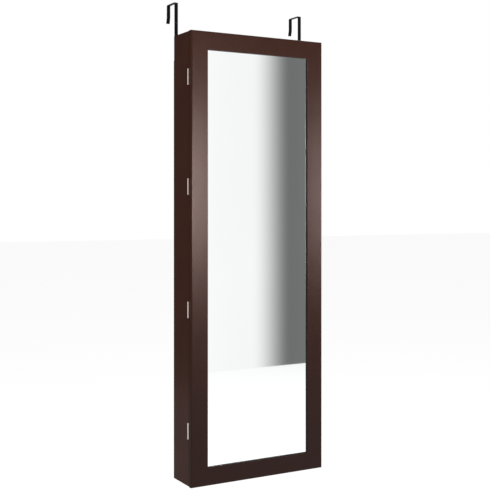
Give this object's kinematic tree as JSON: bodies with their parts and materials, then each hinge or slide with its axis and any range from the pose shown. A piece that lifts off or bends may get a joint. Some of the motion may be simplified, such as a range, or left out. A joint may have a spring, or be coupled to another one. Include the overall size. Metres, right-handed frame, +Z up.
{
  "type": "jewelry mirror cabinet",
  "caption": "Shallow over-door jewelry cabinet with a full-length mirror door on butt hinges, strap hooks, shelves, pegs, a rod, a ring tray and earring bars inside.",
  "frame": {"origin": "centre of the back face, where the cabinet lies against the door or wall", "axes": "+X to the right of someone facing the mirror, +Y out of the back, +Z up"},
  "size_m": [0.3753, 0.146, 1.1645],
  "materials": {
    "espresso_paint": "satin paint on MDF",
    "hardboard": "brown hardboard, smooth side out",
    "beech": "fluted beech dowel",
    "black_velvet": "flocked velvet",
    "mirror_silver": "silvered float glass",
    "hinge_steel": "bright zinc plate",
    "screw_steel": "bright zinc plate",
    "hook_black": "black powder coat",
    "brown_plastic": "moulded",
    "magnet_black": "sintered ferrite",
    "clear_rubber": "soft, cast",
    "lock_chrome": "polished",
    "peg_nickel": "satin nickel"
  },
  "bodies": {
    "cabinet": {"side_panel_left": "espresso_paint", "side_panel_right": "espresso_paint", "top_panel": "espresso_paint", "bottom_panel": "espresso_paint", "carcass_dowels": "beech", "back_panel": "hardboard", "back_lining": "black_velvet", "hanging_rail_top": "black_velvet", "hanging_rail_bottom": "black_velvet", "ring_shelf": "black_velvet", "hook_shelf": "black_velvet", "bracelet_shelf": "black_velvet", "cosmetics_shelf": "black_velvet", "bay_divider": "black_velvet", "guard_rail_upper": "espresso_paint", "guard_rail_middle": "espresso_paint", "guard_rail_lower": "espresso_paint", "necklace_rail": "espresso_paint", "necklace_pegs": "peg_nickel", "bracelet_rod": "peg_nickel", "rod_socket_left": "peg_nickel", "rod_socket_right": "peg_nickel", "ring_tray": "black_velvet", "ring_rolls": "black_velvet", "earring_bar_back": "black_velvet", "earring_bar_middle": "black_velvet", "earring_bar_front": "black_velvet", "hinge_leaves_fixed": "hinge_steel", "hinge_pins": "hinge_steel", "hinge_screws_fixed": "screw_steel", "over_door_hook_left": "hook_black", "over_door_hook_right": "hook_black", "hook_screws": "hook_black", "catch_cases": "brown_plastic", "catch_magnets": "magnet_black", "catch_screws": "screw_steel", "door_bumpers": "clear_rubber", "lock_barrel": "lock_chrome", "lock_nut": "hinge_steel"},
    "door": {"door_frame": "espresso_paint", "mirror_glass": "mirror_silver", "mirror_backing": "hardboard", "door_lining": "black_velvet", "mirror_clips": "hinge_steel", "clip_screws": "screw_steel", "hinge_leaves_door": "hinge_steel", "hinge_screws_door": "screw_steel", "catch_strikes": "hinge_steel", "strike_screws": "screw_steel", "lock_strike": "hinge_steel", "lock_strike_screws": "screw_steel"},
    "lock": {"lock_plug": "lock_chrome", "lock_cam": "hinge_steel", "lock_cam_screw": "screw_steel"}
  },
  "joints": [
    {"name": "door_hinge", "type": "hinge", "parent": "cabinet", "child": "door", "pos_m": [-0.1869, -0.085, 0], "axis": [0, 0, -1], "range_deg": [0, 180]},
    {"name": "lock_turn", "type": "hinge", "parent": "cabinet", "child": "lock", "pos_m": [0.1775, -0.062, 0], "axis": [-1, 0, 0], "range_deg": [0, 90]}
  ]
}
